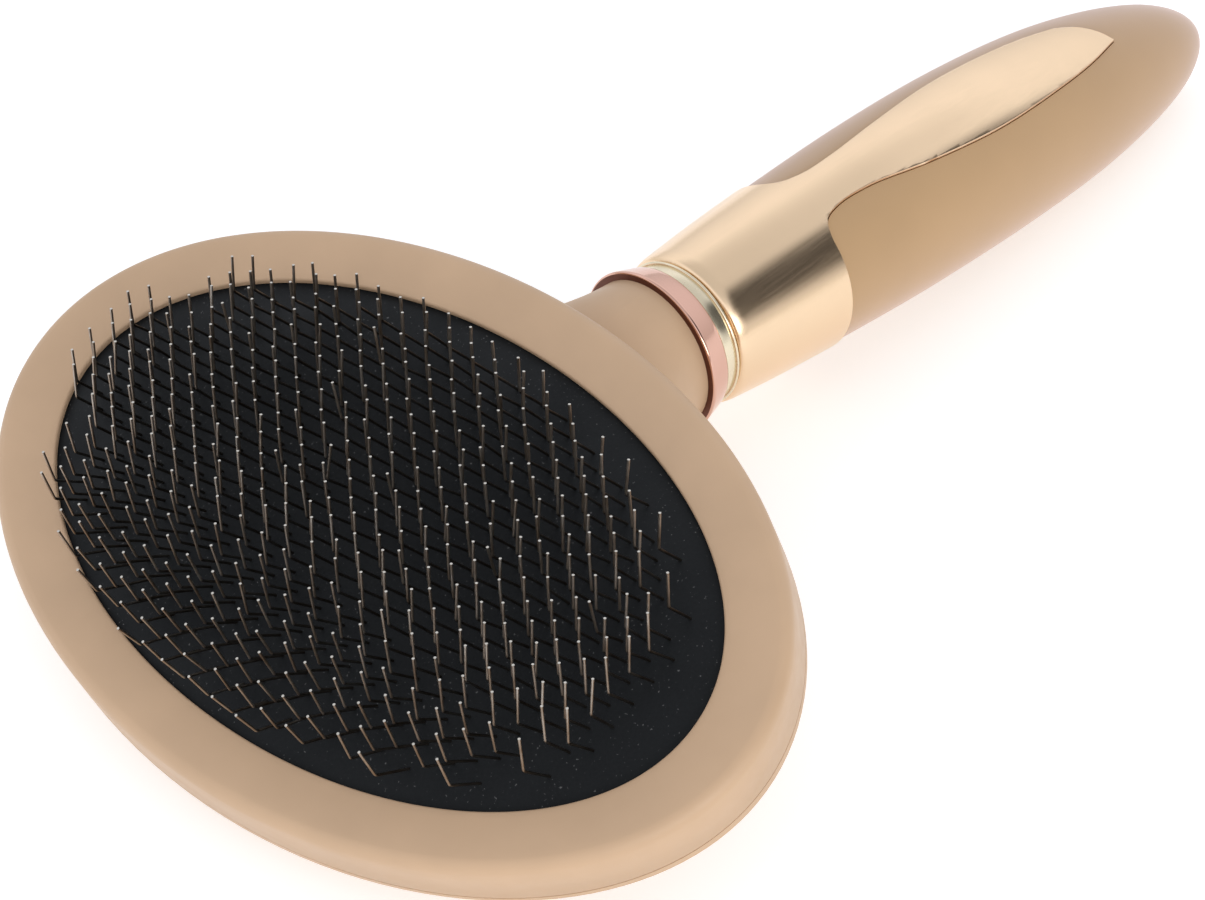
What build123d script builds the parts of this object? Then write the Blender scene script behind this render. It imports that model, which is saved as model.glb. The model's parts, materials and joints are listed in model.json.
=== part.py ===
from build123d import *
from math import cos, radians, sin, sqrt
import os

os.makedirs("parts", exist_ok=True)

# Slicker brush lying on its back, pins up: head towards -X, handle towards +X, floor at Z = 0.
# Millimetres. Heights with a minus sign are below the top of the rim, along the head's normal.

# Places of the two frames that everything hangs on
REST_TILT = 17.3  # head's normal leans this far towards -X when the brush lies down
HEAD_CENTRE = (-59.99, 0, 22.77)  # centre of the rim's top plane
RING_ALONG = 42.4  # from the head's centre to the front of the neck ring, in the head's plane
RING_DEPTH = 17.85  # the same point, below the rim's top plane
HANDLE_FALL = 22.1  # the handle's axis falls away from the head's plane by this angle

# Rim
RIM_ALONG = 36.0
RIM_ACROSS = 57.7
OPENING_ALONG = 28.6
OPENING_ACROSS = 49.4
RIM_EDGE_ROUND = 1.5
LIP = 1.6  # thickness of the rim's face at the opening
PARTING = -6.7  # seam between the front frame and the back shell
WALL = 2.3

# Back shell
BACK_DEPTH = -21.0
BACK_RADIUS_ACROSS = 131.0
BACK_RADIUS_ALONG = 55.0
TONGUE_HEIGHT = 1.6  # locating lip that stands up inside the front frame
TONGUE_WALL = 1.0
FIT = 0.15

# Pad, its cloth, the foam and the tray under them
PAD_ALONG = 30.6
PAD_ACROSS = 51.4
PAD_CROWN = 2.0
PAD_RADIUS_ACROSS = 330.0
PAD_RADIUS_ALONG = 112.0
PAD_THICKNESS = 1.5
CLOTH_THICKNESS = 0.8
FOAM_GAP = 0.3
TRAY_TOP = -8.3
TRAY_THICKNESS = 1.5
TRAY_ALONG = 28.4
TRAY_ACROSS = 46.0
SCREW_ALONG = 14.0
SCREW_ACROSS = 33.0
BOSS_RADIUS = 3.2

# Wire staples: two bent legs joined by a crown in the cloth
WIRE_RADIUS = 0.19
ROW_PITCH = 1.68
PIN_PITCH = 4.0
FIELD_ALONG = 25.2
FIELD_ACROSS = 45.8
ROWS_EACH_SIDE = 14
LOWER_LEG = 5.2
UPPER_LEG = 5.1
LOWER_LEAN = 20.0  # away from the handle
UPPER_LEAN = 22.0  # back towards the handle
FRONT_ROWS = 8.0  # rows further than this from the middle, on the front side, lean out
FRONT_LEAN = 1.9  # degrees for each millimetre beyond that

# Neck and the rings behind it, as distances along the handle's axis
NECK_RADIUS = 9.9
SPIGOT_RADIUS = 5.8
SPIGOT_LENGTH = 8.8
WEB = 3.5
BOSS_OF_CORE = 8.4
RING_END = 3.5
BUSH_END = 5.2
BEAD_END = 5.9
COLLAR_START = 6.0

# Handle: radius at stations along its axis, measured to the metal's surface
HANDLE_STATIONS = [
    (COLLAR_START, 10.1),
    (14.7, 10.9),
    (27.3, 11.7),
    (44.0, 12.4),
    (63.0, 12.35),
    (80.0, 11.25),
    (93.4, 9.0),
    (101.4, 6.6),
    (106.2, 4.0),
    (108.7, 1.4),
]
DROOP = 1.9  # the axis bends down by this much towards the butt
DROOP_START = 47.0
DROOP_SPAN = 52.0
SEAM = 24.4
METAL = 1.2
PROUD = 0.35  # the metal stands this much above the grip
GRIP = 2.2
FILM = 0.05  # glue line between nested shells
SEAM_GAP = 0.12  # open joint between the metal's edge and the grip
COLLAR_TURN = 10.0  # the tongue's middle is turned this far round from the top, towards -Y

tilt = radians(REST_TILT)
fall = radians(HANDLE_FALL - REST_TILT)
head_along = Vector(cos(tilt), 0, sin(tilt))
head_normal = Vector(-sin(tilt), 0, cos(tilt))
head = Plane(origin=HEAD_CENTRE, x_dir=head_along, z_dir=head_normal)
across = Plane(origin=HEAD_CENTRE, x_dir=(0, 1, 0), z_dir=head_along)
handle_axis = Vector(cos(fall), 0, -sin(fall))
handle_up = Vector(sin(fall), 0, cos(fall))
ring_front = head.from_local_coords(Vector(RING_ALONG, 0, -RING_DEPTH))
handle = Plane(origin=ring_front, x_dir=handle_up, z_dir=handle_axis)


def dome(crown, radius_across, radius_along, side):
    """Solid whose skin curves both ways; side 1 bulges to the pins and -1 to the back."""
    reach = 64.0
    drop = radius_across - sqrt(radius_across**2 - reach**2)
    edge = crown - side * drop
    hub = crown - side * radius_along
    with BuildPart() as solid:
        with BuildSketch(across):
            with BuildLine():
                ThreePointArc((-reach, edge), (0, crown), (reach, edge))
                Polyline((reach, edge), (reach, hub), (-reach, hub), (-reach, edge))
            make_face()
        revolve(axis=Axis(head.from_local_coords(Vector(0, 0, hub)), (0, 1, 0)))
    return solid.part


def pad_dome(crown):
    """Bulge of the pad, or of a layer under it, by the height of its crown."""
    sunk = PAD_CROWN - crown
    return dome(crown, PAD_RADIUS_ACROSS - sunk, PAD_RADIUS_ALONG - sunk, 1)


def station_plane(distance):
    """Plane square to the handle's axis, dropped where the handle droops."""
    beyond = max(0.0, distance - DROOP_START) / DROOP_SPAN
    origin = ring_front + handle_axis * distance - handle_up * (DROOP * beyond**2)
    return Plane(origin=origin, x_dir=handle_up, z_dir=handle_axis)


def handle_body(inset):
    """The handle's outer form, drawn in by inset all round."""
    with BuildPart() as solid:
        for distance, radius in HANDLE_STATIONS:
            if radius - inset > 0.6:
                with BuildSketch(station_plane(distance)):
                    Circle(radius - inset)
        loft()
    return solid.part


def drum(start, end, radius):
    """Cylinder round the handle's axis between two distances."""
    with BuildPart() as solid:
        with BuildSketch(handle.offset(start)):
            Circle(radius)
        extrude(amount=end - start)
    return solid.part


# Front frame: the oval rim that holds the pad
with BuildPart() as front_frame:
    with BuildSketch(head.offset(PARTING)):
        Ellipse(RIM_ALONG, RIM_ACROSS)
        Ellipse(OPENING_ALONG, OPENING_ACROSS, mode=Mode.SUBTRACT)
    extrude(amount=-PARTING)
    with BuildSketch(head.offset(PARTING)):
        Ellipse(RIM_ALONG - WALL, RIM_ACROSS - WALL)
        Ellipse(OPENING_ALONG, OPENING_ACROSS, mode=Mode.SUBTRACT)
    extrude(amount=-PARTING - LIP, mode=Mode.SUBTRACT)
    top_edges = front_frame.edges().group_by(Axis(HEAD_CENTRE, head_normal))[-1]
    fillet(top_edges.sort_by(SortBy.LENGTH)[-1], RIM_EDGE_ROUND)
front_frame.part.label = "front_frame"

# Back shell: domed cup with the flared neck, screw posts and a locating lip
back_outside = dome(BACK_DEPTH, BACK_RADIUS_ACROSS, BACK_RADIUS_ALONG, -1)
back_inside = dome(BACK_DEPTH + WALL, BACK_RADIUS_ACROSS - WALL, BACK_RADIUS_ALONG - WALL, -1)
with BuildPart() as hollow:
    with BuildSketch(head.offset(PARTING)):
        Ellipse(RIM_ALONG - WALL, RIM_ACROSS - WALL)
    extrude(amount=BACK_DEPTH - PARTING)
    add(back_inside, mode=Mode.INTERSECT)
with BuildPart() as cup:
    with BuildSketch(head.offset(PARTING)):
        Ellipse(RIM_ALONG, RIM_ACROSS)
    extrude(amount=BACK_DEPTH - PARTING - 1)
    add(hollow.part, mode=Mode.SUBTRACT)
    with BuildSketch(head.offset(TRAY_TOP - TRAY_THICKNESS)):
        with GridLocations(2 * SCREW_ALONG, 2 * SCREW_ACROSS, 2, 2):
            Circle(BOSS_RADIUS)
    extrude(amount=BACK_DEPTH - TRAY_TOP + TRAY_THICKNESS)
    add(back_outside, mode=Mode.INTERSECT)

NECK_SECTIONS = [(-25.0, 5.5, 27.0), (-15.0, 7.6, 18.5), (-7.0, 8.9, 12.6), (-2.2, 9.7, 10.3)]
with BuildPart() as neck:
    for distance, half_height, half_width in NECK_SECTIONS:
        with BuildSketch(handle.offset(distance)):
            Ellipse(half_height, half_width)
    with BuildSketch(handle):
        Circle(NECK_RADIUS)
    loft()
    with BuildSketch(head.offset(PARTING)):
        Rectangle(200, 200)
    extrude(amount=20, mode=Mode.SUBTRACT)
    add(hollow.part, mode=Mode.SUBTRACT)

washer_seat = -SPIGOT_LENGTH - WEB
with BuildPart() as back_shell:
    add(cup.part)
    add(neck.part)
    with BuildSketch(head.offset(TRAY_TOP)):
        with GridLocations(2 * SCREW_ALONG, 2 * SCREW_ACROSS, 2, 2):
            Circle(1.1)
    extrude(amount=-5.3, mode=Mode.SUBTRACT)
    with BuildSketch(head.offset(PARTING - 0.6)):
        Ellipse(RIM_ALONG - WALL - FIT, RIM_ACROSS - WALL - FIT)
        Ellipse(
            RIM_ALONG - WALL - FIT - TONGUE_WALL,
            RIM_ACROSS - WALL - FIT - TONGUE_WALL,
            mode=Mode.SUBTRACT,
        )
    extrude(amount=TONGUE_HEIGHT + 0.6)
    with BuildSketch(head.offset(PARTING - 0.6)):
        Ellipse(RIM_ALONG - WALL + 0.2, RIM_ACROSS - WALL + 0.2)
        Ellipse(RIM_ALONG - WALL - FIT - 0.1, RIM_ACROSS - WALL - FIT - 0.1, mode=Mode.SUBTRACT)
    extrude(amount=0.6)
    add(drum(-SPIGOT_LENGTH - 0.2, 0.1, SPIGOT_RADIUS + 0.1), mode=Mode.SUBTRACT)
    add(drum(washer_seat - 1, 0, 1.7), mode=Mode.SUBTRACT)
    add(drum(washer_seat - 16, washer_seat, 3.0), mode=Mode.SUBTRACT)
back_shell.part.label = "back_shell"

# Pin pad: thin domed rubber sheet, with a woven cloth bonded under it
with BuildPart() as pin_pad:
    with BuildSketch(head.offset(TRAY_TOP)):
        Ellipse(PAD_ALONG, PAD_ACROSS)
    extrude(amount=PAD_CROWN - TRAY_TOP + 1)
    add(pad_dome(PAD_CROWN), mode=Mode.INTERSECT)
    add(pad_dome(PAD_CROWN - PAD_THICKNESS), mode=Mode.SUBTRACT)
pin_pad.part.label = "pin_pad"

with BuildPart() as pad_cloth:
    with BuildSketch(head.offset(TRAY_TOP)):
        Ellipse(PAD_ALONG - 0.4, PAD_ACROSS - 0.4)
    extrude(amount=PAD_CROWN - TRAY_TOP + 1)
    add(pad_dome(PAD_CROWN - PAD_THICKNESS), mode=Mode.INTERSECT)
    add(pad_dome(PAD_CROWN - PAD_THICKNESS - CLOTH_THICKNESS), mode=Mode.SUBTRACT)
pad_cloth.part.label = "pad_cloth"

# Foam cushion: flat under, domed over, a little clear of the cloth
foam_crown = PAD_CROWN - PAD_THICKNESS - CLOTH_THICKNESS - FOAM_GAP
with BuildPart() as foam_cushion:
    with BuildSketch(head.offset(TRAY_TOP)):
        Ellipse(TRAY_ALONG - 0.8, TRAY_ACROSS - 0.8)
    extrude(amount=foam_crown - TRAY_TOP)
    add(pad_dome(foam_crown), mode=Mode.INTERSECT)
foam_cushion.part.label = "foam_cushion"

# Tray: stiff plate that carries the foam, screwed to the posts of the back shell
with BuildPart() as cushion_tray:
    with BuildSketch(head.offset(TRAY_TOP)):
        Ellipse(TRAY_ALONG, TRAY_ACROSS)
    extrude(amount=-TRAY_THICKNESS)
    with Locations(head.offset(TRAY_TOP)):
        with GridLocations(2 * SCREW_ALONG, 2 * SCREW_ACROSS, 2, 2):
            CounterSinkHole(radius=1.45, counter_sink_radius=2.6, depth=TRAY_THICKNESS)
cushion_tray.part.label = "cushion_tray"

with BuildPart() as tray_screws:
    with BuildSketch(Plane.XZ):
        with BuildLine():
            Polyline((0, 0), (2.45, 0), (1.3, -1.2), (1.3, -4.2), (0, -5.0), (0, 0))
        make_face()
    revolve(axis=Axis.Z)
    with Locations((0, 0, 0)):
        Cylinder(0.6, 0.7, align=(Align.CENTER, Align.CENTER, Align.MAX), mode=Mode.SUBTRACT)
screw_places = [
    head * Pos(i * SCREW_ALONG, j * SCREW_ACROSS, TRAY_TOP - 0.05) for i in (-1, 1) for j in (-1, 1)
]
screw_group = Part(children=[tray_screws.part.moved(place) for place in screw_places])
screw_group.label = "tray_screws"

# Neck ring: bright flared band, then a plain bush and a thin bead in front of the collar
with BuildPart() as neck_ring:
    with BuildSketch(Plane(origin=ring_front, x_dir=handle_axis, z_dir=(0, -1, 0))):
        with BuildLine():
            Polyline(
                (0, 8.5), (0, 10.65), (0.3, 10.95), (0.8, 10.85), (RING_END - 0.3, 10.1),
                (RING_END, 9.85), (RING_END, 8.5), (0, 8.5),
            )
        make_face()
    revolve(axis=Axis(ring_front, handle_axis))
neck_ring.part.label = "neck_ring"

with BuildPart() as neck_bush:
    add(drum(RING_END, BUSH_END, 9.35))
    add(drum(RING_END, BUSH_END, 8.5), mode=Mode.SUBTRACT)
neck_bush.part.label = "neck_bush"

with BuildPart() as bead_ring:
    add(drum(BUSH_END, BEAD_END, 9.9))
    add(drum(BUSH_END, BEAD_END, 8.5), mode=Mode.SUBTRACT)
    outer_edges = bead_ring.edges().filter_by(GeomType.CIRCLE).group_by(SortBy.RADIUS)[-1]
    fillet(outer_edges, 0.25)
bead_ring.part.label = "bead_ring"

# Regions that split the handle's skin between metal and soft grip
turn = radians(COLLAR_TURN)
leaf_normal = handle_up * cos(turn) + Vector(0, -1, 0) * sin(turn)
leaf_plane = Plane(origin=ring_front, x_dir=handle_axis, z_dir=leaf_normal)


LEAF_LOWER = [(24.4, -6.6), (27.6, -3.2), (33, -3.2), (44, -4.9), (57, -5.9), (70, -5.3), (78, -4.4)]
LEAF_POINT = (84.5, -2.8)
LEAF_SHOULDER = (82.0, 0.6)
LEAF_UPPER = [(78.6, 3.3), (66, 4.8), (55, 5.2), (43, 4.3), (33, 3.5), (27.6, 3.7), (24.4, 6.9)]


def metal_region(margin):
    """Space that the collar and its leaf-shaped tongue take, grown by margin."""
    lower = [(along, side - margin) for along, side in LEAF_LOWER]
    upper = [(along, side + margin) for along, side in LEAF_UPPER]
    point = (LEAF_POINT[0] + margin, LEAF_POINT[1])
    shoulder = (LEAF_SHOULDER[0] + margin, LEAF_SHOULDER[1] + margin)
    with BuildPart() as solid:
        add(drum(0, SEAM + margin, 20))
        with BuildSketch(leaf_plane):
            with BuildLine():
                Polyline(upper[-1], (SEAM, 9), (2, 9), (2, -9), (SEAM, -9), lower[0])
                Spline(*lower, point)
                ThreePointArc(point, shoulder, upper[0])
                Spline(*upper)
            make_face()
        extrude(amount=18)
    return solid.part


skin = handle_body(0)
under_metal = handle_body(METAL)
with BuildPart() as collar_sleeve:
    add(skin)
    add(under_metal, mode=Mode.SUBTRACT)
    add(metal_region(0), mode=Mode.INTERSECT)
collar_sleeve.part.label = "collar_sleeve"

under_tongue = handle_body(METAL + FILM)
with BuildPart() as recess:
    add(metal_region(SEAM_GAP))
    add(under_tongue, mode=Mode.SUBTRACT)
with BuildPart() as grip_shell:
    add(handle_body(PROUD))
    add(drum(0, SEAM, 20), mode=Mode.SUBTRACT)
    add(recess.part, mode=Mode.SUBTRACT)
    add(handle_body(PROUD + GRIP), mode=Mode.SUBTRACT)
grip_shell.part.label = "grip_shell"

# Core: stiff spine with the spigot that plugs into the neck
with BuildPart() as handle_core:
    add(handle_body(PROUD + GRIP + FILM))
    add(under_tongue.intersect(drum(0, SEAM, 20)))
    add(drum(0, COLLAR_START + 0.5, BOSS_OF_CORE))
    add(drum(-SPIGOT_LENGTH, 0, SPIGOT_RADIUS))
    add(drum(-SPIGOT_LENGTH, 4, 1.35), mode=Mode.SUBTRACT)
handle_core.part.label = "handle_core"

# Screw and washer that draw the spigot into the neck, driven from inside the head
with BuildPart() as neck_washer:
    add(drum(washer_seat - 0.5, washer_seat, 2.8))
    add(drum(washer_seat - 0.5, washer_seat, 1.7), mode=Mode.SUBTRACT)
neck_washer.part.label = "neck_washer"

with BuildPart() as neck_screw:
    add(drum(washer_seat - 2.3, washer_seat - 0.5, 2.6))
    add(drum(washer_seat - 0.5, 3.4, 1.45))
    add(drum(washer_seat - 2.3, washer_seat - 1.4, 0.9), mode=Mode.SUBTRACT)
neck_screw.part.label = "neck_screw"

# One staple, standing on the pad's crown: crown in the cloth, both legs bent at the knee
crown_height = -PAD_THICKNESS - CLOTH_THICKNESS / 2
half_pitch = PIN_PITCH / 2
knee_x = -LOWER_LEG * sin(radians(LOWER_LEAN))
knee_z = LOWER_LEG * cos(radians(LOWER_LEAN))
tip_x = knee_x + UPPER_LEG * sin(radians(UPPER_LEAN))
tip_z = knee_z + UPPER_LEG * cos(radians(UPPER_LEAN))
with BuildPart() as staple:
    with BuildLine() as wire:
        Polyline(
            (tip_x, -half_pitch, tip_z),
            (knee_x, -half_pitch, knee_z),
            (0, -half_pitch, 0),
            (0, -half_pitch, crown_height),
            (0, half_pitch, crown_height),
            (0, half_pitch, 0),
            (knee_x, half_pitch, knee_z),
            (tip_x, half_pitch, tip_z),
        )
    with BuildSketch(Plane(origin=wire.line @ 0, z_dir=wire.line % 0)):
        RegularPolygon(WIRE_RADIUS, 6)
    sweep(path=wire.line, transition=Transition.RIGHT)


def staple_place(along, side):
    """Where a staple stands on the domed pad; the front rows lean out over the rim."""
    ring_radius = PAD_RADIUS_ALONG - PAD_RADIUS_ACROSS + sqrt(PAD_RADIUS_ACROSS**2 - side**2)
    height = PAD_CROWN - PAD_RADIUS_ALONG + sqrt(ring_radius**2 - along**2)
    lean = radians(-FRONT_LEAN * max(0.0, -along - FRONT_ROWS))
    normal = head_along * sin(lean) + head_normal * cos(lean)
    foot = head.from_local_coords(Vector(along, side, height))
    return Plane(origin=foot, x_dir=head_along * cos(lean) - head_normal * sin(lean), z_dir=normal).location


# Staple rows, one node each, shifted by half a pin from row to row
rows = []
for index in range(2 * ROWS_EACH_SIDE + 1):
    row_along = (index - ROWS_EACH_SIDE) * ROW_PITCH
    row_reach = FIELD_ACROSS * sqrt(1 - (row_along / FIELD_ALONG) ** 2)
    first = half_pitch * (index % 2) - 2 * PIN_PITCH * int(FIELD_ACROSS / PIN_PITCH)
    sides = [first + 2 * PIN_PITCH * step for step in range(2 * int(FIELD_ACROSS / PIN_PITCH) + 1)]
    kept = [side for side in sides if abs(side) + half_pitch <= row_reach]
    row = Part(children=[staple.part.moved(staple_place(row_along, side)) for side in kept])
    row.label = f"staple_row_{index + 1:02d}"
    rows.append(row)

pieces = [
    front_frame.part, back_shell.part, pin_pad.part, pad_cloth.part, foam_cushion.part,
    cushion_tray.part, screw_group, neck_ring.part, neck_bush.part, bead_ring.part,
    collar_sleeve.part, grip_shell.part, handle_core.part, neck_washer.part, neck_screw.part,
]
for piece in pieces + rows:
    export_step(piece, f"parts/{piece.label}.step")
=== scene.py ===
import json
import random
from math import cos, pi, radians, sin, sqrt

import bmesh
import bpy
from mathutils import Matrix, Vector


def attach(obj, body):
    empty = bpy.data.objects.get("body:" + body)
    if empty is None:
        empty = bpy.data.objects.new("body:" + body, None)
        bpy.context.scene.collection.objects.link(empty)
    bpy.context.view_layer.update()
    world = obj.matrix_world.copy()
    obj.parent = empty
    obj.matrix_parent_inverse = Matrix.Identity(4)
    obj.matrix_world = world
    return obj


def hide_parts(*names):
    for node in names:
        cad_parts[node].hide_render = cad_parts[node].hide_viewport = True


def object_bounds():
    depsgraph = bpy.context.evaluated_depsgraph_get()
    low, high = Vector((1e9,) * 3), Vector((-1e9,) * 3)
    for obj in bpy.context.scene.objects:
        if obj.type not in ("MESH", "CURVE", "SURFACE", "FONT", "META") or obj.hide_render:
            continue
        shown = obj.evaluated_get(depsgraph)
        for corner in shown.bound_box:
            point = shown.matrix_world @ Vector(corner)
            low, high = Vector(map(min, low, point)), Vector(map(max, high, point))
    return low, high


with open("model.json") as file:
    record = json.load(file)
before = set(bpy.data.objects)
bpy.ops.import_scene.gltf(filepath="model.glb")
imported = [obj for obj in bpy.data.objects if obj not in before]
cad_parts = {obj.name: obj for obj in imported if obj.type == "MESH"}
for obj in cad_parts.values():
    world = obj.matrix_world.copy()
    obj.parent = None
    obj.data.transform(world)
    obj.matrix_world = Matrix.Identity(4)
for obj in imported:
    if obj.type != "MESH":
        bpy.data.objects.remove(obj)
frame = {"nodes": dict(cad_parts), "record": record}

CAD_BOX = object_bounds()
MM = 0.001

# ---------------------------------------------------------------- driving sizes, millimetres
TILT = radians(17.3)
HANDLE_FALL = radians(22.1) - TILT
HEAD_CENTRE = Vector((-59.99, 0, 22.77))
RING_ALONG, RING_DEPTH = 42.4, 17.85

# rim
RIM_ALONG, RIM_ACROSS = 36.0, 57.7
OPENING_ALONG, OPENING_ACROSS = 28.6, 49.4
EDGE_ROUND = 1.5
FACE_FALL = 0.85
LIP = 1.6
PARTING = -6.7
GROOVE = 0.15
LIP_ROUND = 0.3
LIP_CORNERS = [(0.08, 0.1), (0.0, 0.32)]
FACE_CURVE = 1.3
ROUND_STEPS, FACE_STEPS = 10, 8
WALL = 2.3

# pad
PAD_ALONG, PAD_ACROSS, PAD_CROWN = 30.6, 51.4, 2.0
PAD_RADIUS_ACROSS, PAD_RADIUS_ALONG = 330.0, 112.0
PAD_THICKNESS = 1.5
PAD_RINGS, PAD_SEGMENTS = 60, 240

# wire pins
WIRE_RADIUS = 0.175
ROW_PITCH, PIN_PITCH = 1.68, 4.0
FIELD_ALONG, FIELD_ACROSS = 25.2, 45.8
ROWS_EACH_SIDE = 14
LOWER_LEG, LOWER_LEAN = 5.2, 20.0
UPPER_LEG, UPPER_LEAN = 5.1, 22.0
FRONT_ROWS, FRONT_LEAN = 8.0, 1.9
BEND_RADIUS = 0.35
PIN_SIDES = 8
ROOT_DEPTH = 1.2
STRAY_SHARE, STRAY_FACTOR = 0.05, 3.0
LOWER_SCATTER, UPPER_SCATTER, SWAY_SCATTER = 1.5, 2.0, 1.4
LENGTH_SCATTER = 0.12
# the lower-leg slot holds the wire darkened as painted shade between the pins
UPPER_SLOT, TIP_SLOT, LOWER_SHADE_SLOT = range(3)

# neck, collar and grip, as distances back from the ring's front
RING_END, BUSH_END, BEAD_END = 3.5, 5.2, 5.9
NECK_BORE = 8.5
COLLAR_START = 6.0
SEAM, SEAM_GAP = 24.4, 0.10
METAL = 1.2
PROUD = 0.35
GRIP = 2.2
COLLAR_TURN = radians(10.0)
COLLAR_SOFTENING, GRIP_SOFTENING = 0.14, 0.12
CUT_EDGE_ANGLE, CREASE_ANGLE = 50.0, 20.0
SHOULDER_RISE, SHOULDER_DEPTH, SHOULDER_STEPS = 0.8, 0.9, 8
PROFILE_STEPS, HANDLE_SEGMENTS = 14, 192
TOOL_FRONT, TOOL_REACH = 2.0, 16.0
TONGUE_ROOT, TONGUE_FLOOR = 12.0, 0.5
DROOP, DROOP_START, DROOP_SPAN = 1.9, 47.0, 52.0
HANDLE_END = 108.6
HANDLE_STATIONS = [
    (6.0, 10.1), (14.7, 10.9), (27.3, 11.7), (44.0, 12.4), (63.0, 12.35), (80.0, 11.25),
    (93.4, 9.0), (101.4, 6.6), (106.2, 4.0), (HANDLE_END, 1.4),
]

ALONG = Vector((cos(TILT), 0, sin(TILT)))
NORMAL = Vector((-sin(TILT), 0, cos(TILT)))
ACROSS = Vector((0, 1, 0))
AXIS = Vector((cos(HANDLE_FALL), 0, -sin(HANDLE_FALL)))
UP = Vector((sin(HANDLE_FALL), 0, cos(HANDLE_FALL)))


def head_point(along, side, height):
    """Row-frame millimetres of a point given in the head's own frame."""
    return HEAD_CENTRE + ALONG * along + ACROSS * side + NORMAL * height


RING_FRONT = head_point(RING_ALONG, 0, -RING_DEPTH)


def handle_point(distance, angle, radius):
    """Point round the handle; the angle runs from the top towards -Y."""
    beyond = max(0.0, distance - DROOP_START) / DROOP_SPAN
    centre = RING_FRONT + AXIS * distance - UP * (DROOP * beyond ** 2)
    return centre + (UP * cos(angle) - ACROSS * sin(angle)) * radius


# ---------------------------------------------------------------- mesh helpers
def new_piece(name, points, faces, finishes, sharp=35.0):
    """Mesh object from millimetre points, smooth except over sharp edges."""
    mesh = bpy.data.meshes.new(name)
    mesh.from_pydata([point * MM for point in points], [], faces)
    piece = bpy.data.objects.new(name, mesh)
    bpy.context.scene.collection.objects.link(piece)
    for finish in finishes:
        mesh.materials.append(finish)
    tidy = bmesh.new()
    tidy.from_mesh(mesh)
    bmesh.ops.recalc_face_normals(tidy, faces=tidy.faces)
    tidy.to_mesh(mesh)
    tidy.free()
    mesh.shade_smooth()
    mesh.set_sharp_from_angle(angle=radians(sharp))
    return piece


def loop_surface(rings, closed):
    """Faces between successive closed rings of equal length."""
    count = len(rings[0])
    points = [point for ring in rings for point in ring]
    faces = []
    pairs = len(rings) if closed else len(rings) - 1
    for row in range(pairs):
        here = row * count
        after = ((row + 1) % len(rings)) * count
        for i in range(count):
            j = (i + 1) % count
            faces.append((here + i, here + j, after + j, after + i))
    return points, faces


def capped_surface(rings):
    """Open run of rings with a flat cap on its first and last ring."""
    points, faces = loop_surface(rings, closed=False)
    count = len(rings[0])
    last = (len(rings) - 1) * count
    faces.append(tuple(range(count)))
    faces.append(tuple(range(last, last + count)))
    return points, faces


def smooth_path(corners, steps):
    """Curve through the corners: centripetal Catmull-Rom, steps points to a stretch."""
    points = [Vector(corner) for corner in corners]
    points = [2 * points[0] - points[1]] + points + [2 * points[-1] - points[-2]]
    path = []
    for a, b, c, d in zip(points, points[1:], points[2:], points[3:]):
        t1 = sqrt((b - a).length)
        t2 = t1 + sqrt((c - b).length)
        t3 = t2 + sqrt((d - c).length)
        for step in range(steps):
            t = t1 + (t2 - t1) * step / steps
            ab = a.lerp(b, t / t1)
            bc = b.lerp(c, (t - t1) / (t2 - t1))
            cd = c.lerp(d, (t - t2) / (t3 - t2))
            abc = ab.lerp(bc, t / t2)
            bcd = bc.lerp(cd, (t - t1) / (t3 - t1))
            path.append(abc.lerp(bcd, (t - t1) / (t2 - t1)))
    path.append(points[-2])
    return path


def lathe(name, profile, finish, segments=256, sharp=35.0):
    """Closed ring turned about the handle's axis from (distance, radius) corners."""
    rings = [
        [handle_point(distance, 2 * pi * i / segments, radius) for i in range(segments)]
        for distance, radius in profile
    ]
    points, faces = loop_surface(rings, closed=True)
    return new_piece(name, points, faces, [finish], sharp)


# ---------------------------------------------------------------- materials
def material(name, color, roughness, metallic=0.0):
    """Principled material; returns it with its node tree and shader."""
    made = bpy.data.materials.new(name)
    made.use_nodes = True
    shader = made.node_tree.nodes["Principled BSDF"]
    shader.inputs["Base Color"].default_value = (*color, 1)
    shader.inputs["Roughness"].default_value = roughness
    shader.inputs["Metallic"].default_value = metallic
    return made, made.node_tree, shader


def add_noise(tree, scale, detail=4.0, stretch=(1, 1, 1)):
    """Noise texture in the object's own metres, stretched along the given axes."""
    nodes, links = tree.nodes, tree.links
    place = nodes.new("ShaderNodeTexCoord")
    mapping = nodes.new("ShaderNodeMapping")
    mapping.inputs["Scale"].default_value = stretch
    noise = nodes.new("ShaderNodeTexNoise")
    noise.inputs["Scale"].default_value = scale
    noise.inputs["Detail"].default_value = detail
    links.new(place.outputs["Object"], mapping.inputs["Vector"])
    links.new(mapping.outputs["Vector"], noise.inputs["Vector"])
    return noise


def add_ramp(tree, source, stops):
    """Colour ramp fed by a texture; stops are (place, colour)."""
    ramp = tree.nodes.new("ShaderNodeValToRGB")
    band = ramp.color_ramp
    while len(band.elements) < len(stops):
        band.elements.new(0.5)
    for element, (place, color) in zip(band.elements, stops):
        element.position = place
        element.color = (*color, 1)
    tree.links.new(source, ramp.inputs["Fac"])
    return ramp


def add_bump(tree, shader, height, strength, distance):
    """Fine relief from a texture's height."""
    bump = tree.nodes.new("ShaderNodeBump")
    bump.inputs["Strength"].default_value = strength
    bump.inputs["Distance"].default_value = distance
    tree.links.new(height, bump.inputs["Height"])
    tree.links.new(bump.outputs["Normal"], shader.inputs["Normal"])


def shade(color, factor):
    """Colour made lighter or darker."""
    return tuple(min(1.0, channel * factor) for channel in color)


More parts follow.
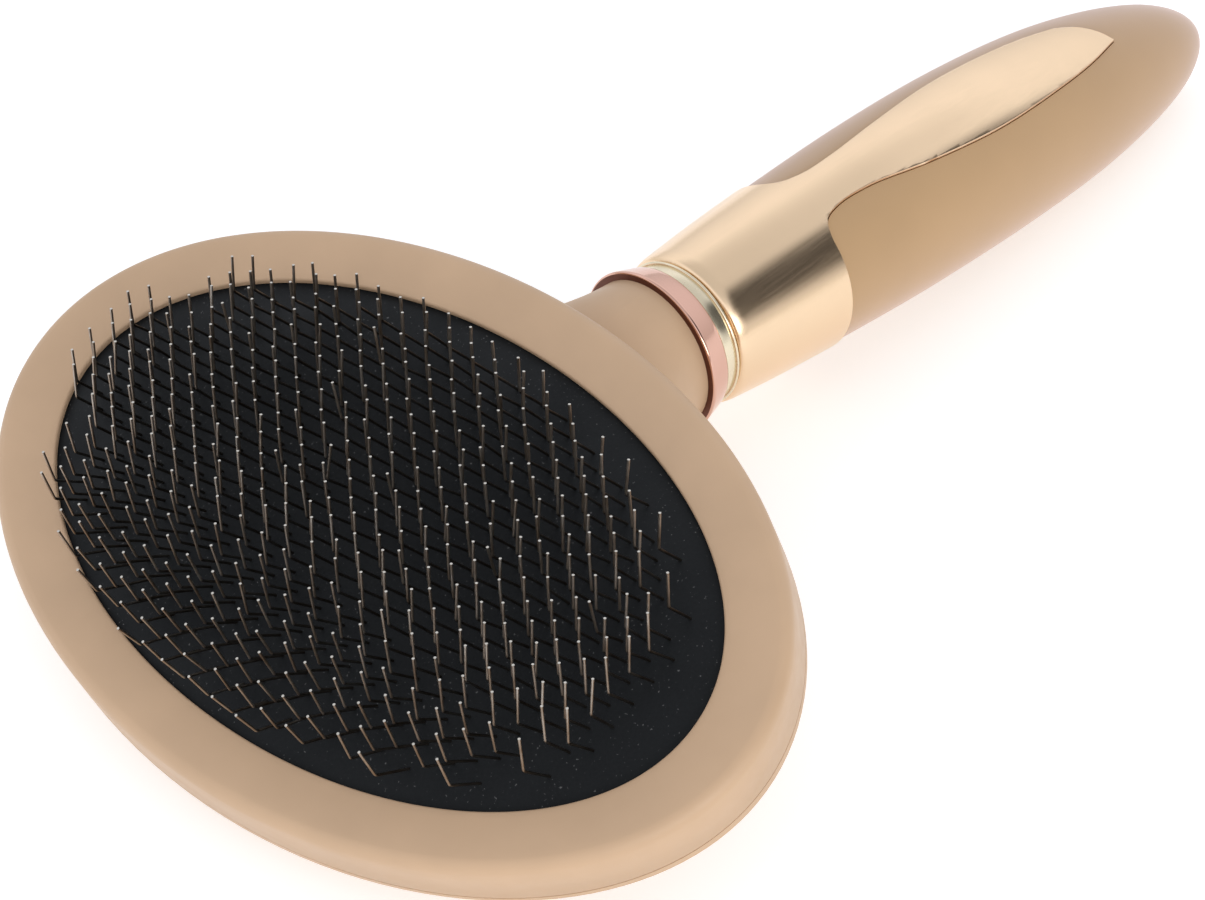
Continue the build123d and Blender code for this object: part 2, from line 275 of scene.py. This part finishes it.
def beige_plastic():
    """Satin moulded plastic: soft mottling, fine grain, faint scuffs."""
    color = (0.550, 0.370, 0.232)
    made, tree, shader = material("beige_shell", color, 0.42)
    shader.inputs["Specular IOR Level"].default_value = 0.35
    mottle = add_noise(tree, 90.0, 3.0)
    ramp = add_ramp(tree, mottle.outputs["Fac"], [(0.3, shade(color, 0.955)), (0.7, shade(color, 1.03))])
    tree.links.new(ramp.outputs["Color"], shader.inputs["Base Color"])
    scuff = add_noise(tree, 500.0, 6.0, (1, 0.12, 1))
    rough = add_ramp(tree, scuff.outputs["Fac"], [(0.35, (0.40,) * 3), (0.75, (0.52,) * 3)])
    tree.links.new(rough.outputs["Color"], shader.inputs["Roughness"])
    grain = add_noise(tree, 5200.0, 2.0)
    add_bump(tree, shader, grain.outputs["Fac"], 0.10, 0.00004)
    return made


def soft_touch():
    """Matt soft-touch rubber paint: dusty sheen at grazing angles."""
    color = (0.455, 0.285, 0.140)
    made, tree, shader = material("soft_grip", color, 0.62)
    shader.inputs["Sheen Weight"].default_value = 0.8
    shader.inputs["Sheen Roughness"].default_value = 0.45
    shader.inputs["Sheen Tint"].default_value = (0.95, 0.82, 0.84, 1)
    shader.inputs["Specular IOR Level"].default_value = 0.3
    mottle = add_noise(tree, 60.0, 3.0)
    ramp = add_ramp(tree, mottle.outputs["Fac"], [(0.3, shade(color, 0.96)), (0.7, shade(color, 1.03))])
    tree.links.new(ramp.outputs["Color"], shader.inputs["Base Color"])
    grain = add_noise(tree, 7000.0, 2.0)
    add_bump(tree, shader, grain.outputs["Fac"], 0.12, 0.00003)
    return made


def satin_gold():
    """Satin plated metal with fine lengthwise brushing."""
    color = (0.85, 0.63, 0.42)
    made, tree, shader = material("satin_gold", color, 0.30, 1.0)
    patina = add_noise(tree, 70.0, 3.0)
    ramp = add_ramp(tree, patina.outputs["Fac"], [(0.3, shade(color, 0.97)), (0.7, shade(color, 1.03))])
    tree.links.new(ramp.outputs["Color"], shader.inputs["Base Color"])
    brush = add_noise(tree, 2400.0, 3.0, (0.04, 1, 1))
    rough = add_ramp(tree, brush.outputs["Fac"], [(0.3, (0.20,) * 3), (0.7, (0.26,) * 3)])
    tree.links.new(rough.outputs["Color"], shader.inputs["Roughness"])
    add_bump(tree, shader, brush.outputs["Fac"], 0.02, 0.00001)
    return made


def polished(name, color, roughness, wear):
    """Polished or satin plated ring with slight smears."""
    made, tree, shader = material(name, color, roughness, 1.0)
    smear = add_noise(tree, 260.0, 4.0)
    rough = add_ramp(
        tree, smear.outputs["Fac"], [(0.35, (roughness,) * 3), (0.75, (roughness + wear,) * 3)]
    )
    tree.links.new(rough.outputs["Color"], shader.inputs["Roughness"])
    fine = add_noise(tree, 1500.0, 2.0)
    add_bump(tree, shader, fine.outputs["Fac"], 0.03, 0.00002)
    return made


def black_rubber():
    """Black rubber sheet: fine pebble, dusty specks."""
    made, tree, shader = material("pad_rubber", (0.008, 0.009, 0.011), 0.55)
    shader.inputs["Specular IOR Level"].default_value = 0.13
    dust = add_noise(tree, 2600.0, 2.0)
    specks = add_ramp(
        tree, dust.outputs["Fac"],
        [(0.0, (0.006, 0.007, 0.008)), (0.69, (0.009, 0.010, 0.011)), (0.76, (0.10, 0.10, 0.10))],
    )
    tree.links.new(specks.outputs["Color"], shader.inputs["Base Color"])
    cloud = add_noise(tree, 120.0, 4.0)
    rough = add_ramp(tree, cloud.outputs["Fac"], [(0.3, (0.45,) * 3), (0.7, (0.68,) * 3)])
    tree.links.new(rough.outputs["Color"], shader.inputs["Roughness"])
    pebble = add_noise(tree, 3000.0, 3.0)
    add_bump(tree, shader, pebble.outputs["Fac"], 0.25, 0.00006)
    return made


def drawn_wire(name, factor):
    """Drawn steel wire with brownish oxide in places; a factor below one darkens the whole colour as
    painted shade.
    """
    made, tree, shader = material(name, (0.40, 0.36, 0.32), 0.33, 1.0)
    stain = add_noise(tree, 300.0, 3.0)
    ramp = add_ramp(
        tree, stain.outputs["Fac"],
        [
            (0.3, shade((0.30, 0.235, 0.18), factor)),
            (0.55, shade((0.44, 0.385, 0.33), factor)),
            (0.8, shade((0.62, 0.59, 0.55), factor)),
        ],
    )
    tree.links.new(ramp.outputs["Color"], shader.inputs["Base Color"])
    return made


def plain_inner(name, color, roughness, metallic=0.0, scale=400.0):
    """Hidden inner pieces: a light mottle over one colour."""
    made, tree, shader = material(name, color, roughness, metallic)
    mottle = add_noise(tree, scale, 4.0)
    ramp = add_ramp(tree, mottle.outputs["Fac"], [(0.3, shade(color, 0.85)), (0.7, shade(color, 1.1))])
    tree.links.new(ramp.outputs["Color"], shader.inputs["Base Color"])
    add_bump(tree, shader, mottle.outputs["Fac"], 0.3, 0.0001)
    return made


BEIGE = beige_plastic()
SOFT = soft_touch()
GOLD = satin_gold()
ROSE = polished("rose_chrome", (0.68, 0.41, 0.32), 0.09, 0.10)
# dark rose metal for the ring's front face: painted shade standing for the shadowed gap between ring and
# neck
ROSE_PAINTED_SHADE = polished("rose_painted_shade", (0.14, 0.06, 0.045), 0.3, 0.1)
PALE = polished("pale_metal", (0.78, 0.68, 0.50), 0.22, 0.12)
RUBBER = black_rubber()
WIRE = drawn_wire("pin_wire", 1.0)
# lower pin legs: the same wire darkened to about a third, as painted shade between the dense pins
PAINTED_SHADE_WIRE = drawn_wire("pin_wire_low_painted_shade", 0.35)
TIP = polished("wire_tip", (0.60, 0.57, 0.52), 0.4, 0.1)
CLOTH = plain_inner("pad_cloth", (0.03, 0.03, 0.033), 0.9, scale=1800.0)
FOAM = plain_inner("foam", (0.05, 0.05, 0.055), 0.95, scale=900.0)
INNER = plain_inner("inner_plastic", (0.45, 0.36, 0.27), 0.5)
STEEL = plain_inner("screw_steel", (0.55, 0.55, 0.55), 0.3, 1.0)

CAD_MATERIALS = {
    "beige_shell": BEIGE, "pad_rubber": RUBBER, "pad_cloth": CLOTH, "foam": FOAM,
    "inner_plastic": INNER, "screw_steel": STEEL, "rose_chrome": ROSE, "pale_metal": PALE,
    "satin_gold": GOLD, "soft_grip": SOFT, "pin_wire": WIRE,
}
for entry in frame["record"]["subparts"]:
    node = frame["nodes"][entry["node"]]
    for slot in node.material_slots:
        slot.material = CAD_MATERIALS[entry["material_slot"]]


def finish_piece(piece, body, node):
    """Ride a new piece on its body in place of a CAD node."""
    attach(piece, body)
    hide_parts(node)


# ---------------------------------------------------------------- rim
def oval(along, across, height, segments=320):
    """Oval ring in the head's plane at a height."""
    turns = [2 * pi * i / segments for i in range(segments)]
    return [head_point(along * cos(t), across * sin(t), height) for t in turns]


def rim():
    """Oval rim: side wall with a parting groove, rounded outer edge, face falling to the opening."""
    inner_along, inner_across = RIM_ALONG - WALL, RIM_ACROSS - WALL
    rings = [
        oval(inner_along, inner_across, PARTING),
        oval(RIM_ALONG - GROOVE, RIM_ACROSS - GROOVE, PARTING),
        oval(RIM_ALONG, RIM_ACROSS, PARTING + GROOVE),
    ]
    for step in range(ROUND_STEPS + 1):
        turn = pi / 2 * step / ROUND_STEPS
        inset = EDGE_ROUND * (1 - cos(turn))
        height = -EDGE_ROUND * (1 - sin(turn))
        rings.append(oval(RIM_ALONG - inset, RIM_ACROSS - inset, height))
    start_along, start_across = RIM_ALONG - EDGE_ROUND, RIM_ACROSS - EDGE_ROUND
    end_along, end_across = OPENING_ALONG + LIP_ROUND, OPENING_ACROSS + LIP_ROUND
    for step in range(1, FACE_STEPS + 1):
        part = step / FACE_STEPS
        along = start_along + (end_along - start_along) * part
        across = start_across + (end_across - start_across) * part
        rings.append(oval(along, across, -FACE_FALL * part ** FACE_CURVE))
    for outward, drop in LIP_CORNERS:
        rings.append(oval(OPENING_ALONG + outward, OPENING_ACROSS + outward, -FACE_FALL - drop))
    rings.append(oval(OPENING_ALONG, OPENING_ACROSS, -LIP))
    rings.append(oval(inner_along, inner_across, -LIP))
    points, faces = loop_surface(rings, closed=True)
    piece = new_piece("rim", points, faces, [BEIGE], 50.0)
    finish_piece(piece, "brush", "front_frame")


# ---------------------------------------------------------------- pad and pins
def pad_height(along, side):
    """Height of the pad's skin over the rim's top plane."""
    turned = PAD_RADIUS_ALONG - PAD_RADIUS_ACROSS + sqrt(PAD_RADIUS_ACROSS ** 2 - side ** 2)
    return PAD_CROWN - PAD_RADIUS_ALONG + sqrt(turned ** 2 - along ** 2)


def pad():
    """Thin domed skin, closed by flat caps in the middle above and below."""
    top, under = [], []
    for step in range(PAD_RINGS, 0, -1):
        part = step / PAD_RINGS
        top_ring, under_ring = [], []
        for i in range(PAD_SEGMENTS):
            turn = 2 * pi * i / PAD_SEGMENTS
            along, side = PAD_ALONG * part * cos(turn), PAD_ACROSS * part * sin(turn)
            height = pad_height(along, side)
            top_ring.append(head_point(along, side, height))
            under_ring.append(head_point(along, side, height - PAD_THICKNESS))
        top.append(top_ring)
        under.append(under_ring)
    points, faces = capped_surface(list(reversed(under)) + top)
    piece = new_piece("pad_skin", points, faces, [RUBBER])
    finish_piece(piece, "pad", "pin_pad")


def rounded(corners, radius, steps=3):
    """Polyline with each inner corner cut round."""
    path = [corners[0]]
    for before, corner, after in zip(corners, corners[1:], corners[2:]):
        into = (before - corner).normalized()
        out = (after - corner).normalized()
        start, end = corner + into * radius, corner + out * radius
        for step in range(steps + 1):
            t = step / steps
            path.append(start.lerp(corner, t).lerp(corner.lerp(end, t), t))
    path.append(corners[-1])
    return path


def tube(path, radius, sides, points, faces, kinds):
    """Add a closed tube along a path, and to kinds the material slot of each of its faces."""
    base = len(points)
    side_way = Vector((0, 1, 0))
    for i, centre in enumerate(path):
        forward = (path[min(i + 1, len(path) - 1)] - path[max(i - 1, 0)]).normalized()
        first = side_way.cross(forward).normalized()
        second = forward.cross(first)
        for k in range(sides):
            turn = 2 * pi * k / sides
            points.append(centre + (first * cos(turn) + second * sin(turn)) * radius)
    for i in range(len(path) - 1):
        here, after = base + i * sides, base + (i + 1) * sides
        for k in range(sides):
            j = (k + 1) % sides
            faces.append((here + k, here + j, after + j, after + k))
            # lower-leg faces take the darkened wire, painted shade between the pins
            kinds.append(LOWER_SHADE_SLOT if i < len(path) - 3 else UPPER_SLOT)
    faces.append(tuple(range(base, base + sides)))
    last = base + (len(path) - 1) * sides
    faces.append(tuple(range(last, last + sides)))
    kinds.extend((LOWER_SHADE_SLOT, TIP_SLOT))


def pin_row(index, chance):
    """One row of wire pins, each leg with its own slight error of bend."""
    along = (index - ROWS_EACH_SIDE) * ROW_PITCH
    reach = FIELD_ACROSS * sqrt(1 - (along / FIELD_ALONG) ** 2)
    steps = int(FIELD_ACROSS / PIN_PITCH)
    half = PIN_PITCH / 2
    first = half * (index % 2) - 2 * PIN_PITCH * steps
    points, faces, kinds = [], [], []
    for step in range(2 * steps + 1):
        middle = first + 2 * PIN_PITCH * step
        if abs(middle) + half > reach:
            continue
        for side in (middle - half, middle + half):
            lean = radians(-FRONT_LEAN * max(0.0, -along - FRONT_ROWS))
            rise = ALONG * sin(lean) + NORMAL * cos(lean)
            fore = ALONG * cos(lean) - NORMAL * sin(lean)
            left = rise.cross(fore)
            foot = head_point(along, side, pad_height(along, side))
            wander = chance.gauss(0, 1)
            stray = STRAY_FACTOR if chance.random() < STRAY_SHARE else 1.0
            low = radians(LOWER_LEAN + LOWER_SCATTER * chance.gauss(0, 1))
            high = radians(UPPER_LEAN + UPPER_SCATTER * stray * chance.gauss(0, 1))
            sway = radians(SWAY_SCATTER * stray * wander)
            knee = foot + (rise * cos(low) - fore * sin(low) + left * sin(sway) * 0.5) * LOWER_LEG
            length = UPPER_LEG + LENGTH_SCATTER * chance.gauss(0, 1)
            tip = knee + (rise * cos(high) + fore * sin(high) + left * sin(sway)) * length
            tip.z = min(tip.z, CAD_BOX[1].z / MM - WIRE_RADIUS)
            corners = [foot - rise * ROOT_DEPTH, foot, knee, tip]
            path = rounded(corners, BEND_RADIUS)
            tube(path, WIRE_RADIUS, PIN_SIDES, points, faces, kinds)
    name = f"pins_{index + 1:02d}"
    # third slot: the wire darkened as painted shade on the lower legs
    piece = new_piece(name, points, faces, [WIRE, TIP, PAINTED_SHADE_WIRE], 50.0)
    piece.data.polygons.foreach_set("material_index", kinds)
    finish_piece(piece, "pad", f"staple_row_{index + 1:02d}")


# ---------------------------------------------------------------- rings
def rings_of_the_neck():
    """Rose ring with a dark front face as painted shade of the gap at the neck, the pale bush behind it,
    and a round bead.
    """
    outer = [
        (0.0, 10.70), (0.05, 10.84), (0.16, 10.92), (0.32, 10.93), (0.5, 10.88), (1.6, 10.58),
        (2.7, 10.27), (3.25, 10.10), (3.42, 10.02), (RING_END, 9.88),
    ]
    ring = lathe("rose_ring", outer + [(RING_END, NECK_BORE), (0.0, NECK_BORE)], ROSE, sharp=50.0)
    # the front face takes the dark finish, painted shade of the gap at the neck
    ring.data.materials.append(ROSE_PAINTED_SHADE)
    for face in ring.data.polygons:
        corners = [ring.data.vertices[i].co / MM - RING_FRONT for i in face.vertices]
        if all(abs(corner.dot(AXIS)) < 0.01 for corner in corners):
            face.material_index = 1
    finish_piece(ring, "brush", "neck_ring")
    bush = lathe(
        "pale_bush",
        [
            (RING_END, NECK_BORE), (RING_END, 9.3), (RING_END + 0.1, 9.35), (BUSH_END, 9.35),
            (BUSH_END, NECK_BORE),
        ],
        PALE,
    )
    finish_piece(bush, "brush", "neck_bush")
    turns = [pi * step / 8 for step in range(9)]
    centre, half = BEAD_END - 0.24, 0.22
    crown = [(BUSH_END, 9.34), (centre - half, 9.36)]
    crown += [(centre - half * cos(t), 9.50 + half * sin(t)) for t in turns]
    foot = [(BEAD_END, 9.3), (BEAD_END, NECK_BORE), (BUSH_END, NECK_BORE)]
    bead = lathe("bright_bead", crown + foot, PALE)
    finish_piece(bead, "brush", "bead_ring")


# ---------------------------------------------------------------- handle
PROFILE = smooth_path([(s, r, 0) for s, r in HANDLE_STATIONS] + [(HANDLE_END, 0, 0)], PROFILE_STEPS)


def handle_solid(name, inset, thickness, shoulder, finish):
    """Hollow shell under the handle's skin, open at the front, with a round shoulder if asked."""
    outer = [(p.x, p.y - inset) for p in PROFILE if p.y - inset > 0.15]
    inner = [(p.x, p.y - inset - thickness) for p in PROFILE if p.y - inset - thickness > 0.4]
    if shoulder:
        base = outer[0][1] - SHOULDER_RISE
        front = [(COLLAR_START, base)]
        for step in range(1, SHOULDER_STEPS):
            turn = pi / 2 * step / SHOULDER_STEPS
            distance = COLLAR_START + SHOULDER_DEPTH * (1 - cos(turn))
            front.append((distance, base + SHOULDER_RISE * sin(turn)))
        outer = front + [(s, r) for s, r in outer if s > COLLAR_START + SHOULDER_DEPTH + 0.05]
    profile = list(reversed(inner)) + outer
    rings = [
        [handle_point(s, 2 * pi * i / HANDLE_SEGMENTS, r) for i in range(HANDLE_SEGMENTS)]
        for s, r in profile
    ]
    points, faces = capped_surface(rings)
    return new_piece(name, points, faces, [finish])


def leaf_outline(margin):
    """Leaf and its flare into the collar, as (distance, offset across) in the leaf's plane."""
    nose, heel = (84.5, -2.8, 0), (78.6, 3.2, 0)
    lower = smooth_path(
        [(SEAM, -9, 0), (SEAM + 0.1, -6.0, 0), (25.6, -4.0, 0), (28.6, -3.15, 0), (34, -3.3, 0),
         (44, -4.9, 0), (57, -5.9, 0), (70, -5.3, 0), (78, -4.3, 0), nose], 10,
    )
    end = smooth_path([nose, (83.4, -0.7, 0), (81.4, 1.6, 0), heel], 8)
    upper = smooth_path(
        [heel, (72, 4.3, 0), (64, 5.0, 0), (54, 5.2, 0), (43, 4.3, 0), (34, 3.5, 0),
         (28.6, 3.6, 0), (25.6, 4.8, 0), (SEAM + 0.1, 7.0, 0), (SEAM, 10, 0)], 10,
    )
    line = [Vector((p.x, p.y)) for p in lower[:-1] + end[:-1] + upper]
    grown = []
    for i, point in enumerate(line):
        way = line[min(i + 1, len(line) - 1)] - line[max(i - 1, 0)]
        away = Vector((way.y, -way.x)).normalized()
        grown.append(point + away * margin)
    return [Vector((TONGUE_ROOT, grown[0].y))] + grown + [Vector((TONGUE_ROOT, grown[-1].y))]


def prism(name, outline, low, high):
    """Outline in the leaf's plane, drawn along the leaf's normal."""
    normal = UP * cos(COLLAR_TURN) - ACROSS * sin(COLLAR_TURN)
    side = normal.cross(AXIS)
    flat = [RING_FRONT + AXIS * p.x + side * p.y for p in outline]
    count = len(flat)
    points = [p + normal * low for p in flat] + [p + normal * high for p in flat]
    faces = [tuple(range(count)), tuple(range(count, 2 * count))]
    for i in range(count):
        j = (i + 1) % count
        faces.append((i, j, count + j, count + i))
    return new_piece(name, points, faces, [])


def apply_boolean(piece, operand, operation):
    """Apply a boolean between closed meshes and leave no modifier behind."""
    modifier = piece.modifiers.new("cut", "BOOLEAN")
    modifier.object = operand
    modifier.operation = operation
    modifier.solver = "MANIFOLD"
    bake(piece)


def bake(piece):
    """Replace the mesh by the result of its modifiers."""
    graph = bpy.context.evaluated_depsgraph_get()
    mesh = bpy.data.meshes.new_from_object(piece.evaluated_get(graph))
    piece.modifiers.clear()
    piece.data = mesh


def metal_tool(margin):
    """Space of the collar and its tongue, as one closed mesh."""
    corners = ((TOOL_FRONT, -1), (SEAM + margin, -1), (SEAM + margin, 1), (TOOL_FRONT, 1))
    box = [Vector((distance, side * TOOL_REACH)) for distance, side in corners]
    tool = prism("tool_sleeve", box, -TOOL_REACH, TOOL_REACH)
    leaf = prism("tool_leaf", leaf_outline(margin), TONGUE_FLOOR, TOOL_REACH)
    apply_boolean(tool, leaf, "UNION")
    bpy.data.objects.remove(leaf)
    return tool


def soften_edges(piece, width, finish):
    """Small round on the cut edges, baked."""
    bevel = piece.modifiers.new("edge", "BEVEL")
    bevel.width = width * MM
    bevel.segments = 2
    bevel.limit_method = "ANGLE"
    bevel.angle_limit = radians(CUT_EDGE_ANGLE)
    bake(piece)
    piece.data.materials.clear()
    piece.data.materials.append(finish)
    piece.data.shade_smooth()
    piece.data.set_sharp_from_angle(angle=radians(CREASE_ANGLE))


def handle_skins():
    """Gold collar with its tongue, and the grip cut away round both with a thin seam."""
    tool = metal_tool(0.0)
    collar = handle_solid("collar_and_tongue", 0.0, METAL, True, GOLD)
    apply_boolean(collar, tool, "INTERSECT")
    soften_edges(collar, COLLAR_SOFTENING, GOLD)
    bpy.data.objects.remove(tool)
    finish_piece(collar, "brush", "collar_sleeve")
    tool = metal_tool(SEAM_GAP)
    grip = handle_solid("soft_grip", PROUD, GRIP, False, SOFT)
    apply_boolean(grip, tool, "DIFFERENCE")
    soften_edges(grip, GRIP_SOFTENING, SOFT)
    bpy.data.objects.remove(tool)
    finish_piece(grip, "brush", "grip_shell")


# ---------------------------------------------------------------- build
rim()
pad()
chance = random.Random(11)
for row_index in range(2 * ROWS_EACH_SIDE + 1):
    pin_row(row_index, chance)
rings_of_the_neck()
handle_skins()


# ---------------------------------------------------------------- stage, light, camera
FLOOR_HALF = 6000.0
CAMERA_PLACE = head_point(-81.56, -229.0, 306.6)
CAMERA_RIGHT = ALONG * 0.6509 - ACROSS * 0.7096 - NORMAL * 0.2698
CAMERA_BACK = ALONG * -0.2689 - ACROSS * 0.5479 + NORMAL * 0.7921
CAMERA_LENS = 101.58
GAP_WAY = (0.56, -0.66, 0.50)
GAP_START, GAP_FULL = 0.895, 0.955


def floor():
    """Wide pale floor that glows a little, so that it stays near white."""
    made, tree, shader = material("floor", (0.80, 0.80, 0.80), 0.85)
    shader.inputs["Emission Color"].default_value = (1, 1, 1, 1)
    shader.inputs["Emission Strength"].default_value = 0.42
    shader.inputs["Specular IOR Level"].default_value = 0.1
    mottle = add_noise(tree, 3.0, 2.0)
    ramp = add_ramp(tree, mottle.outputs["Fac"], [(0.3, (0.79,) * 3), (0.7, (0.81,) * 3)])
    tree.links.new(ramp.outputs["Color"], shader.inputs["Base Color"])
    signs = ((-1, -1), (1, -1), (1, 1), (-1, 1))
    corners = [Vector((x * FLOOR_HALF, y * FLOOR_HALF, 0)) for x, y in signs]
    ground = new_piece("floor", corners, [(0, 1, 2, 3)], [made])


def softbox(name, place, target, size, power, color):
    """Rectangular area light aimed at a point, in metres and watts."""
    light = bpy.data.lights.new(name, "AREA")
    light.shape = "RECTANGLE"
    light.size, light.size_y = size
    light.energy = power
    light.color = color
    lamp = bpy.data.objects.new(name, light)
    lamp.location = place
    lamp.rotation_euler = (Vector(target) - Vector(place)).to_track_quat("-Z", "Y").to_euler()
    bpy.context.scene.collection.objects.link(lamp)


def sky():
    """Even studio surround with one round dark gap, placed so that the gold mirrors it as a band."""
    world = bpy.data.worlds.new("studio")
    bpy.context.scene.world = world
    world.use_nodes = True
    tree = world.node_tree
    nodes, links = tree.nodes, tree.links
    place = nodes.new("ShaderNodeTexCoord")
    split = nodes.new("ShaderNodeSeparateXYZ")
    links.new(place.outputs["Generated"], split.inputs["Vector"])
    dark = add_ramp(
        tree, split.outputs["Z"],
        [(0.0, (0.45,) * 3), (0.2, (0.17,) * 3), (0.38, (0.07,) * 3), (1.0, (0.07,) * 3)],
    )
    even = add_ramp(
        tree, split.outputs["Z"],
        [
            (0.0, (0.80,) * 3), (0.3, (1.05, 1.08, 1.14)), (0.62, (1.22, 1.26, 1.34)),
            (0.8, (0.80, 0.82, 0.86)), (1.0, (0.74, 0.76, 0.79)),
        ],
    )
    toward = nodes.new("ShaderNodeVectorMath")
    toward.operation = "DOT_PRODUCT"
    toward.inputs[1].default_value = GAP_WAY
    links.new(place.outputs["Generated"], toward.inputs[0])
    gap = add_ramp(tree, toward.outputs["Value"], [(GAP_START, (0,) * 3), (GAP_FULL, (1,) * 3)])
    # inputs 6 and 7 and output 2 are the node's colour sockets
    mix = nodes.new("ShaderNodeMix")
    mix.data_type = "RGBA"
    links.new(gap.outputs["Color"], mix.inputs["Factor"])
    links.new(even.outputs["Color"], mix.inputs[6])
    links.new(dark.outputs["Color"], mix.inputs[7])
    background = nodes["Background"]
    links.new(mix.outputs[2], background.inputs["Color"])
    background.inputs["Strength"].default_value = 0.95


def camera():
    """View from the head's end, above and to the left of the handle."""
    up = CAMERA_BACK.cross(CAMERA_RIGHT).normalized()
    lens = bpy.data.cameras.new("camera")
    lens.sensor_width = 36.0
    lens.lens = CAMERA_LENS
    lens.clip_start = 0.01
    lens.clip_end = 50.0
    eye = bpy.data.objects.new("camera", lens)
    turn = Matrix((CAMERA_RIGHT.normalized(), up, CAMERA_BACK.normalized())).transposed()
    eye.matrix_world = Matrix.Translation(CAMERA_PLACE * MM) @ turn.to_4x4()
    bpy.context.scene.collection.objects.link(eye)
    bpy.context.scene.camera = eye


floor()
sky()
softbox(
    "side", place=(-0.25, -0.85, 0.34), target=(-0.04, 0, 0.01), size=(0.9, 0.35), power=3.0,
    color=(1.0, 0.99, 0.97),
)
camera()
bpy.context.scene.view_settings.view_transform = "Standard"
